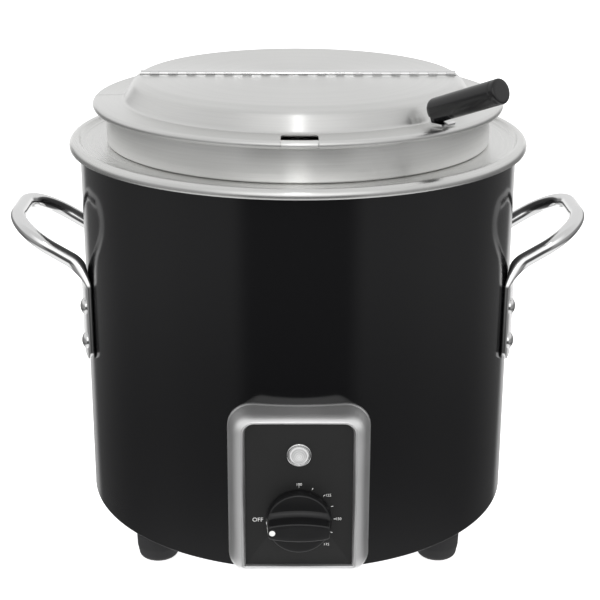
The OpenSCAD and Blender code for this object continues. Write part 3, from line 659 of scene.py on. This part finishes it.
def printed_word(word, size, across, up):
    """A word of upright letters of the given height, centred on the plate at (across, up)."""
    curve = bpy.data.curves.new(word, "FONT")
    curve.body = word
    curve.align_x, curve.align_y = "CENTER", "CENTER"
    curve.size = size * MM
    curve.extrude = ink_t / 2 * MM
    curve.resolution_u = 3
    source = stand(word, curve)
    flat = source.evaluated_get(bpy.context.evaluated_depsgraph_get())
    mesh = bpy.data.meshes.new_from_object(flat)
    place = Matrix.Translation([across * MM, -(plate_y + ink_t / 2) * MM, up * MM])
    mesh.transform(place @ Matrix.Rotation(math.pi / 2, 4, "X"))
    bpy.data.objects.remove(source)
    return stand(word, mesh)


def capped(piece):
    """The piece with its open ends closed and its faces turned outwards."""
    shape = bmesh.new()
    shape.from_mesh(piece.data)
    bmesh.ops.holes_fill(shape, edges=shape.edges)
    bmesh.ops.recalc_face_normals(shape, faces=shape.faces)
    shape.to_mesh(piece.data)
    shape.free()
    return piece


def dial_tick(turn, start, stop, width):
    """A printed bar that points at the knob's axis, at turn degrees clockwise from the top."""
    a = math.radians(turn)
    along = np.array([math.sin(a), 0, math.cos(a)])
    side = np.array([math.cos(a), 0, -math.sin(a)]) * width / 2
    middle = np.array([0, -plate_y, knob_z])
    front = np.array([0, -ink_t, 0])
    ends = [middle + along * r + side * s for r in (start, stop) for s in (-1, 1)]
    square = np.array([ends[0], ends[1], ends[3], ends[2]])
    return capped(surface("tick", np.stack([square + front * 0.02, square + front]), wrap_columns=True))


marks = [dial_tick(turn, 22.0, 23.6, 0.45) for turn in (22, 44, 67, 90, 114.5)]
marks.append(dial_tick(0, 22.3, 23.0, 0.4))
for word, turn, reach in (("100", 0, 24.3), ("125", 48, 25.0), ("150", 90, 25.2), ("175", 136, 25.4)):
    a = math.radians(turn)
    marks.append(printed_word(word, 2.6, reach * math.sin(a), knob_z + reach * math.cos(a)))
marks.append(printed_word("OFF", 4.0, -26.2, knob_z - 0.6))
join("dial_print", marks, print_white("white_ink"), "kettle", "white_print")


# ---- Indicator lamp ----
# A snap-in lamp: a bright metal ring round a clear domed plastic lens. Fine rings are moulded in
# the back of the lens.

FRONT = ((1, 0, 0), (0, 0, 1), (0, -1, 0))


def lamp_lens():
    """Milky clear plastic with fine rings moulded behind its face. The light and dark of the rings,
    a lighter centre and a bright band at its edge are painted highlight and shade in its colour.
    """
    material, shader, here = finish("lamp_lens", (0.72, 0.74, 0.74), 0.12, 0, {"Coat Weight": 0.6})
    x, _, z = here.parts()
    up = z - lamp_z * MM
    radius = (x * x + up * up) ** 0.5
    # Painted light: the rings, the centre and the edge band make the colour lighter and darker as painted
    # highlight and shade.
    rings = (radius * 5200).math("SINE", radius * 5200) * 0.5 + 0.5
    painted_bright_centre = 1 - radius.ease(0.0, 0.0045)
    level = 0.36 + 0.14 * rings + 0.16 * painted_bright_centre + 0.34 * radius.ease(0.0046, 0.0060)
    tone = level.make("ShaderNodeCombineColor", None, {0: level, 1: level, 2: level})
    feed(shader, "Base Color", tone)
    bumped(shader, rings, 0.06, 0.4)
    return material


lamp_z = (lowest("indicator_lens")[2] + highest("indicator_lens")[2]) / 2
lamp_seat = (0, -plate_y, lamp_z)
ring_outline = rounded([(6.5, 0.0, 0), (7.9, 0, 0), (7.9, 1.5, 0.9), (6.5, 1.5, 0.5), (6.3, 0.9, 0)], 5)
lens_outline = np.concatenate([[[0, 3.4]], arc(0, -7.4, 10.8, 88, 57, 10), [[6.25, 0.2], [0, 0.2]]])
ring = surface("ring", turned(ring_outline, 96, lamp_seat, FRONT), wrap_rows=True, wrap_columns=True)
join("lamp_ring", [ring], polished, "kettle", "polished_steel", "indicator_body")
lens = surface("lens", turned(lens_outline, 96, lamp_seat, FRONT), wrap_columns=True)
join("lamp_lens", [lens], lamp_lens(), "kettle", "lamp_lens", "indicator_lens")


# ---- Knob ----
# The thermostat knob is moulded in black: a round skirt and a thick grip bar with bowed sides that
# flare into the skirt. A white line runs up its left end to a white dot on its face.

def black_moulding(name, rough, scratches=0.5):
    """Hard black moulded plastic: smooth, with a soft haze and light handling scratches."""
    material, shader, here = finish(name, (0.006, 0.006, 0.0065), rough)
    haze = here.noise(120, 4)
    spun = here.make("ShaderNodeMapping", None,
                     {"Vector": here, "Scale": (1, 6, 1), "Rotation": (0.4, 0.2, 0.7)})
    lines = spun.noise(500, 2)
    feed(shader, "Roughness", rough - 0.05 + 0.12 * haze + 0.05 * scratches * lines)
    bumped(shader, haze * 0.5 + lines * 0.5, 0.01, 0.35)
    return material


knob_r = (highest("control_knob")[0] - lowest("control_knob")[0]) / 2
knob_h = -lowest("control_knob")[1] - plate_y
skirt_h = 7.4
bar_half = 6.35
flare = 4.0


def knob_bar_line(radius, half):
    """Outline of the grip bar at one height: a circle of the given radius cut off by two bowed
    sides. The distance from the axis is a soft minimum of the circle's and the sides' own."""
    a = np.linspace(0, 2 * np.pi, 192, endpoint=False)
    bow = 0.0055
    s, c = np.abs(np.sin(a)) + 1e-9, np.maximum(np.abs(np.cos(a)), 1e-4)
    side = (np.sqrt(s ** 2 + 4 * bow * half * c ** 2) - s) / (2 * bow * c ** 2)
    sharp = 22
    reach = (radius ** -sharp + side ** -sharp) ** (-1 / sharp)
    return together(reach * np.cos(a), reach * np.sin(a))


def knob_bar_points():
    """The bar from inside the skirt to its face: the sides flare at the foot by a quarter circle,
    the ends taper with the knob, and the face's edge is rounded."""
    rise = np.linspace(0, flare, 12)
    heights = np.concatenate([skirt_h - 0.4 + rise, np.linspace(skirt_h + flare, knob_h - 1.0, 6)])
    foot = np.clip(1 - (heights - skirt_h) / flare, 0, 1)
    half = bar_half + flare * (1 - np.sqrt(1 - foot ** 2))
    end = knob_r - 0.1 - 1.3 * heights / knob_h
    a = np.radians(np.linspace(0, 90, 7)[1:])
    heights = np.concatenate([heights, knob_h - 1.0 + np.sin(a)])
    half = np.concatenate([half, bar_half - 1 + np.cos(a)])
    end = np.concatenate([end, end[-1] - 1 + np.cos(a)])
    rows = [knob_bar_line(r, h) for r, h in zip(end, half)]
    rows = [rows[0] * 0] + rows + [rows[-1] * s for s in (0.6, 0.0)]
    heights = np.concatenate([heights[:1], heights, heights[-1:], heights[-1:]])
    line = np.stack(rows)
    return together(line[..., 0], -plate_y - heights[:, None], knob_z + line[..., 1])


knob_seat = (0, -plate_y, knob_z)
skirt_outline = rounded([(3.2, 0.4, 0), (knob_r, 0.4, 0.3), (knob_r, 4.6, 1.2), (knob_r - 0.8, skirt_h, 1.0),
                         (knob_r - 3.0, skirt_h + 0.1, 0), (3.2, skirt_h + 0.1, 0)])
skirt = surface("skirt", turned(skirt_outline, 144, knob_seat, FRONT), wrap_rows=True, wrap_columns=True)
bar = surface("bar", knob_bar_points(), wrap_columns=True, sharp=50)
join("dial_knob", [skirt, bar], black_moulding("knob_black", 0.34), "knob", "knob_plastic", "control_knob")


def knob_line_points():
    """The white line: a narrow strip that stands a hair off the bar's left end."""
    heights = np.linspace(1.2, knob_h - 0.9, 20)
    reach = knob_r + 0.02 - 1.3 * heights / knob_h
    reach = np.where(heights < skirt_h, knob_r + 0.02 - 0.8 * np.clip((heights - 4.2) / 3, 0, 1) ** 2, reach)
    spread = np.linspace(-0.85, 0.85, 5)
    x = -np.sqrt(reach[:, None] ** 2 - spread ** 2)
    return together(x, -plate_y - heights[:, None], knob_z + spread)


line = surface("line", knob_line_points(), thickness=0.05)
dot_outline = rounded([(0, 0.06, 0), (1.9, 0.06, 0.03), (1.9, -0.3, 0), (0, -0.3, 0)], 3)
dot_seat = (-16.8, -plate_y - knob_h, knob_z)
dot = surface("dot", turned(dot_outline, 40, dot_seat, FRONT), wrap_columns=True)
join("knob_mark", [line, dot], print_white("knob_ink"), "knob", "white_print", "knob_pointer")


# ---- Inset ----
# The lift-out inset is deep drawn from stainless steel: a pan, a step that rests on the flange, an
# upright collar and a rolled bead round its rim, which the lid sits on.

inset_t = 0.9
pan_r = 125.5
collar_r = 131.8
inset_low = lowest("inset_pan")[2]
rim_z = highest("inset_pan")[2]
bead_r = 2.5
bead_ring = collar_r + 3.4

inset_outline = np.concatenate([
    rounded([(0, inset_low, 0), (pan_r, inset_low, 14), (pan_r, gutter_z, 0.8), (collar_r, gutter_z, 1.6),
             (collar_r, rim_z - 5.4, 1.2), (collar_r + 1.2, rim_z - 4.4, 0)], 6),
    arc(bead_ring, rim_z - bead_r, bead_r, 222, 450, 24),
    rounded([(bead_ring - 1.5, rim_z, 0), (collar_r - inset_t, rim_z, 2),
             (collar_r - inset_t, gutter_z + inset_t, 0.7), (pan_r - inset_t, gutter_z + inset_t, 1.7),
             (pan_r - inset_t, inset_low + inset_t, 13.1),
             (0, inset_low + inset_t, 0)], 6)])
inset = surface("inset", turned(inset_outline, 360), wrap_columns=True)
around_axis(inset)
drawn_steel = brushed_steel("drawn_steel", 0.88, 0.34, 0.9, 0.85)
join("inset_and_collar", [inset], drawn_steel, "inset", "stainless_steel", "inset_pan")


# ---- Lid ----
# The lid is pressed from sheet as one dome and cut in two across the middle. The front half has a
# notch in its rim for a ladle's handle. A strip of piano hinge joins the halves from below.

lid_t = 0.9
lid_r = highest("lid_rear")[0]
lid_top = highest("lid_rear")[2]
rim_top = rim_z + lid_t
lip_low = lowest("lid_rear")[2]
dome_foot_r = 119.5
dome_slant = math.radians(30)
shoulder = 10
barrel_half = 108.5
slot_half = 2.8
cut_half = 0.3
lip_r = 2.6
notch_half, notch_in, notch_corner = 11.5, 122.2, 4.5
notch_ring = 130

shoulder_c = (dome_foot_r - (lid_top - shoulder - rim_top) * math.tan(dome_slant)
              - shoulder / math.cos(dome_slant))
dome_line = np.concatenate([
    [[0, lid_top]], arc(shoulder_c, lid_top - shoulder, shoulder, 90, 30, 24),
    rounded([(shoulder_c + shoulder * math.cos(dome_slant), lid_top - shoulder * 0.5, 0),
             (dome_foot_r + 0.4, rim_top + 0.2, 2.2), (lid_r - lip_r, rim_top, 0)], 8)])
lip_line = np.concatenate([arc(lid_r - lip_r, rim_top - lip_r, lip_r, 90, -22, 16),
                           [[lid_r - 0.75, lip_low]]])


def smooth(v):
    """A smooth step from 0 at 0 to 1 at 1."""
    v = np.clip(v, 0, 1)
    return v ** 2 * (3 - 2 * v)


def lid_half(name, hand, notched):
    """Half of the lid, hand -1 in front and 1 behind. Rows are distances from the axis and columns
    are directions. Near the cut, points are pushed away from it, by more where the hinge's barrel
    stands. Near the notch, columns run straight out, the middle ones stop at its rounded end, and
    rows past it are left out. Each point's height is then read off the dome's profile, so that
    the sheet stays on the dome. Beyond the rim's flat the rows go round the turned-down lip."""
    gap = math.degrees(math.asin(notch_half / notch_ring))
    sides = np.linspace(gap, 90, 110)
    inner = gap * np.sin(np.radians(np.linspace(-90, 90, 33)))[1:-1]
    turn = np.radians(np.concatenate([-sides[::-1], inner, sides]))
    in_notch = np.abs(np.degrees(turn)) < gap - 1e-6
    near = np.unique(np.concatenate([np.linspace(0, 96, 25), np.linspace(96, 118, 61),
                                     [barrel_half - 0.04, barrel_half + 0.04]]))
    straight = notch_ring * np.sin(turn)
    past = np.clip(np.abs(straight) - notch_half + notch_corner, 0, None)
    corner = np.sqrt(np.clip(notch_corner ** 2 - past ** 2, 0, None))
    stop = np.where(in_notch, np.hypot(straight, notch_in + notch_corner - corner),
                    math.hypot(notch_half, notch_in + notch_corner))
    middle = 118 + (stop - 118) * np.linspace(0, 1, 17)[1:, None]
    outer = stop + (lid_r - lip_r - stop) * np.linspace(0, 1, 17)[1:, None]
    reach = np.concatenate([np.repeat(near[:, None], len(turn), 1), middle, outer])
    straighten = smooth((25 - np.abs(np.degrees(turn))) / 17) * smooth((reach - 100) / 18) * notched
    x = (reach * (1 - straighten) + notch_ring * straighten) * np.sin(turn)
    y = np.sqrt(np.clip(reach ** 2 - x ** 2, 0, None))
    push = np.where(np.abs(x) < barrel_half, slot_half, cut_half)
    y = y + push * np.clip(1 - y / 40, 0, 1) ** 2
    radius = np.minimum(np.hypot(x, y), lid_r - lip_r)
    z = np.interp(radius, dome_line[:, 0], dome_line[:, 1])
    points = together(x, hand * y, z)
    edge = points[-1, :, :2] / np.hypot(*points[-1, :, :2].T)[:, None]
    over, down = lip_line[1:, 0, None], lip_line[1:, 1, None]
    points = np.concatenate([points, together(edge[:, 0] * over, edge[:, 1] * over, down)])
    faces = grid_faces(*points.shape[:2]).reshape(points.shape[0] - 1, points.shape[1] - 1, 4)
    if notched:
        keep = np.ones(faces.shape[:2], bool)
        first = len(near) + len(middle) - 1
        keep[first:, in_notch[1:] | in_notch[:-1]] = False
        faces = faces[keep]
    mesh = bpy.data.meshes.new(name)
    mesh.from_pydata((points.reshape(-1, 3) * MM).tolist(), [], faces.reshape(-1, 4).tolist())
    shape = bmesh.new()
    shape.from_mesh(mesh)
    bmesh.ops.remove_doubles(shape, verts=shape.verts, dist=1e-7)
    bmesh.ops.delete(shape, geom=[v for v in shape.verts if not v.link_faces], context="VERTS")
    bmesh.ops.recalc_face_normals(shape, faces=shape.faces)
    if sum(f.normal.z * f.calc_area() for f in shape.faces) < 0:
        bmesh.ops.reverse_faces(shape, faces=shape.faces)
    shape.to_mesh(mesh)
    shape.free()
    return stand(name, tidy_mesh(mesh, thickness=lid_t))


lid_steel = brushed_steel("pressed_steel", 0.74, 0.32, 0.9, 0.8)
for name, hand, notched, body, node in (
        ("lid_front_half", -1, 1, "lid_flap", "lid_front"), ("lid_rear_half", 1, 0, "lid", "lid_rear")):
    half_lid = lid_half(name, hand, notched)
    around_axis(half_lid)
    join(name, [half_lid], lid_steel, body, "stainless_steel", node)


# ---- Hinge ----
# A piano hinge: strips of sheet whose edges are curled round a long pin into knuckles, taken in
# turn from the front strip and the rear strip. The strips are spot welded under the lid.

hinge_z = (lowest("hinge_pin")[2] + highest("hinge_pin")[2]) / 2
hinge_half = highest("hinge_pin")[0]
barrel_r, barrel_t = 2.2, 0.75
knuckles = 34
pitch = 2 * hinge_half / knuckles
leaf_low = lowest("front_hinge_leaf")[2]
leaf_t = 0.8
leaf_w = 14


def extruded(name, outline, start, stop, round_off=0.12):
    """A closed (across, up) outline carried along X, with its two ends slightly rounded."""
    middle = outline.mean(0)
    rows = []
    spoke = (outline - middle) / np.linalg.norm(outline - middle, axis=1)[:, None] * round_off
    for x, shrink in ((start, None), (start, 1), (start + round_off, 0),
                      (stop - round_off, 0), (stop, 1), (stop, None)):
        line = np.broadcast_to(middle, outline.shape) if shrink is None else outline - spoke * shrink
        rows.append(together(x, line[:, 0], line[:, 1]))
    return surface(name, np.stack(rows), wrap_columns=True)


def leaf_section(side, near, far):
    """The leaf's flat section from near to far, measured from the pin."""
    return np.array([(side * near, leaf_low), (side * far, leaf_low),
                     (side * far, leaf_low + leaf_t), (side * near, leaf_low + leaf_t)])


def hinge_strip(side, first):
    """Knuckles and strip of one leaf, side -1 in front and 1 behind. A knuckle of the rear leaf
    shows the seam where its curl ends, a narrow slot along its front."""
    parts = []
    seam = 172 if side > 0 else 300
    open_half = 11
    play = 0.12
    first_edge, last_edge = seam + open_half, seam + 360 - open_half
    curl = np.concatenate([arc(0, hinge_z, barrel_r, first_edge, last_edge, 36),
                           arc(0, hinge_z, barrel_r - barrel_t, last_edge, first_edge, 20)])
    for index in range(first, knuckles, 2):
        start = -hinge_half + index * pitch + play
        stop = start + pitch - 2 * play
        rows = [together(x, curl[:, 0], curl[:, 1]) for x in (start, stop)]
        tube = capped(surface("knuckle", np.stack(rows), wrap_columns=True))
        tube.data.set_sharp_from_angle(angle=math.radians(35))
        parts += [tube, extruded("tongue", leaf_section(side, 0.9, slot_half + 0.5), start, stop)]
    strip = leaf_section(side, slot_half, slot_half + leaf_w)
    parts.append(extruded("strip", strip, -hinge_half, hinge_half))
    return parts


join("hinge_front_strip", hinge_strip(-1, 0), polished, "lid_flap", "polished_steel", "front_hinge_leaf")
join("hinge_rear_strip", hinge_strip(1, 1), polished, "lid", "polished_steel", "rear_hinge_leaf")


# ---- Lid grip ----
# The grip is a round black moulding screwed to a bent steel bracket. Two rivets hold the bracket
# to the rim of the lid's front half.

grip_turn = math.radians(43.2)
grip_tilt = math.radians(21)
grip_l, grip_r = 56, 8
root_r, root_z = 124.5, rim_top + 8.5
bracket_t, bracket_half = 1.2, 7
toward = np.array([math.sin(grip_turn), -math.cos(grip_turn), 0])
grip_side = np.array([math.cos(grip_turn), math.sin(grip_turn), 0])
grip_axis = toward * math.cos(grip_tilt) + np.array([0, 0, math.sin(grip_tilt)])
grip_up = np.cross(grip_axis, grip_side)
root = toward * root_r + [0, 0, root_z]
grip_axes = (grip_side, grip_up, grip_axis)

grip_outline = rounded([(0, 0, 0), (grip_r - 0.4, 0, 0.8), (grip_r, 2.0, 1.0), (grip_r, grip_l - 5.6, 0),
                        (grip_r, grip_l - 4.9, 0.3), (grip_r - 0.35, grip_l - 4.5, 0.3),
                        (grip_r, grip_l - 4.1, 0.3), (grip_r, grip_l - 0.2, 1.3),
                        (grip_r - 2.2, grip_l, 0.5), (0, grip_l, 0)], 5)
grip = surface("grip", turned(grip_outline, 96, root, grip_axes), wrap_columns=True)
join("lid_grip_bar", [grip], black_moulding("grip_black", 0.16), "lid_flap", "grip_plastic", "lid_grip")


def bracket_points():
    """The bracket's sheet: from behind the grip's root it goes down, bends and lies on the rim.
    Columns run across its width and its corners are rounded by narrowing its two ends."""
    foot_z = rim_top + bracket_t
    top = root - grip_axis * 0.05 + grip_up * 5.6
    bend = root - grip_up * ((root[2] - foot_z) / math.cos(grip_tilt)) - grip_axis * 0.05
    end = toward * (root_r + 13.6) + [0, 0, foot_z]
    flat = [np.dot(p - toward * root_r, toward) for p in (top, bend, end)]
    line = rounded([(flat[0], top[2], 0), (flat[1], bend[2], 2.2), (flat[2], end[2], 0)], 8)
    t = np.linspace(0, 1, 9)[:, None]
    line = np.concatenate([line[0] * (1 - t) + line[1] * t, line[2:-2], line[-2] * (1 - t) + line[-1] * t])
    gone = np.concatenate([[0], np.cumsum(np.linalg.norm(np.diff(line, axis=0), axis=1))])
    from_end = np.minimum(gone, gone[-1] - gone)
    round_end = 3.0
    short = np.clip(round_end - from_end, 0, None)
    half = bracket_half - round_end + np.sqrt(np.clip(round_end ** 2 - short ** 2, 0, None))
    spread = np.linspace(-1, 1, 9)
    middle = toward * (root_r + line[:, 0, None]) + np.array([0, 0, 1]) * line[:, 1, None]
    return middle[:, None] + half[:, None, None] * spread[:, None] * grip_side


bracket = surface("bracket", bracket_points(), thickness=-bracket_t, sharp=45)
screw_head = domed_head(3.6, 2.0, root - grip_axis * (bracket_t + 0.05), (grip_side, -grip_up, -grip_axis))
rivet_outline = np.concatenate([[[0, 0.8]], arc(0, -2.6, 3.4, 86, 50, 6), [[2.2, -0.2], [0, -0.2]]])
rivets = []
rivet_ring = 134.2
for side in (-4, 4):
    seat = toward * rivet_ring + grip_side * side + [0, 0, rim_top + bracket_t]
    rivets.append(surface("rivet", turned(rivet_outline, 32, seat), wrap_columns=True))
join("grip_bracket_strap", [bracket], polished, "lid_flap", "polished_steel", "grip_bracket")
join("grip_screw_head", [screw_head], polished, "lid_flap", "polished_steel", "grip_screw")
join("bracket_rivet_heads", rivets, polished, "lid_flap", "polished_steel", "bracket_rivets")


# ---- Cord gland ----
# A ribbed black nylon gland low at the back guides the mains lead, which is not fitted here. A
# nut inside the shell holds it.

gland_low, gland_high = lowest("cord_gland"), highest("cord_gland")
gland_z = (gland_low[2] + gland_high[2]) / 2
gland_outline = rounded([
    (4.5, -13.9, 0), (8, -13.9, 0.4), (8, 0.1, 0), (12, 0.1, 0.4), (12, 4.1, 0.8), (9.6, 4.1, 0.3),
    (9.2, 6.6, 0.4), (8.4, 7.0, 0.2), (8.6, 7.6, 0.3), (8.4, 10, 0.4), (7.6, 10.4, 0.2), (7.8, 11, 0.3),
    (7.0, 14, 0.8), (4.5, 14, 0.4), (4.5, 0, 0)], 5)
rearwards = ((-1, 0, 0), (0, 0, 1), (0, 1, 0))
gland = surface("gland", turned(gland_outline, 72, (0, shell_r, gland_z), rearwards),
                wrap_rows=True, wrap_columns=True)
join("rear_cord_gland", [gland], black_moulding("black_nylon", 0.42), "kettle", "black_nylon", "cord_gland")


# ---- Base and works ----
# Under the well are the element and its clamp, the thermostat, the leads and the terminal block,
# closed in by a zinc plated base plate. They are seen only from below or with the inset lifted.

def zinc_plate():
    """Zinc plated steel: soft grey with the cloudy spangle of the plating."""
    material, shader, here = finish("zinc_plate", (0.55, 0.56, 0.58), 0.38, 0.9)
    cells = here.make("ShaderNodeTexVoronoi", None, {"Vector": here, "Scale": 240}, "Color")
    spangle = cells.parts()[0]
    cloud = here.noise(45, 4)
    mottle = spangle * 0.5 + cloud * 0.5
    feed(shader, "Base Color", mottle.between((0.46, 0.47, 0.49), (0.64, 0.65, 0.66)))
    feed(shader, "Roughness", 0.30 + 0.14 * spangle + 0.08 * cloud)
    return material


def plain_works(name, dark, light, rough, metallic=0.0, scale=180, depth=0.03):
    """A finish for the hidden works: two near tones in a cloudy mix with a slight relief."""
    material, shader, here = finish(name, dark, rough, metallic)
    cloud = here.noise(scale, 4, 0.6)
    feed(shader, "Base Color", cloud.between(dark, light))
    feed(shader, "Roughness", rough - 0.08 + 0.16 * cloud)
    bumped(shader, cloud, depth, 0.5)
    return material


works = {
    "plated_steel": zinc_plate(),
    "black_nylon": black_moulding("inner_nylon", 0.45),
    "glass_wool": plain_works("glass_wool", (0.42, 0.34, 0.14), (0.72, 0.63, 0.36), 0.9, 0.0, 300, 0.6),
    "element_sheath": plain_works("element_sheath", (0.10, 0.085, 0.08), (0.2, 0.18, 0.17), 0.5, 0.9),
    "ceramic_housing": plain_works("steatite", (0.60, 0.56, 0.47), (0.72, 0.69, 0.61), 0.4),
    "dark_phenolic": plain_works("dark_phenolic", (0.03, 0.022, 0.018), (0.06, 0.045, 0.038), 0.4),
    "copper": plain_works("copper", (0.62, 0.30, 0.17), (0.74, 0.42, 0.27), 0.25, 1.0, 90, 0.01),
    "lead_sleeve": plain_works("lead_sleeve", (0.30, 0.03, 0.025), (0.42, 0.06, 0.05), 0.55),
    "polished_steel": polished,
}
slots = {part["node"]: part["material_slot"] for part in frame["record"]["subparts"]}
for node, piece in frame["nodes"].items():
    if slots.get(node) in works:
        piece.data.materials.clear()
        piece.data.materials.append(works[slots[node]])
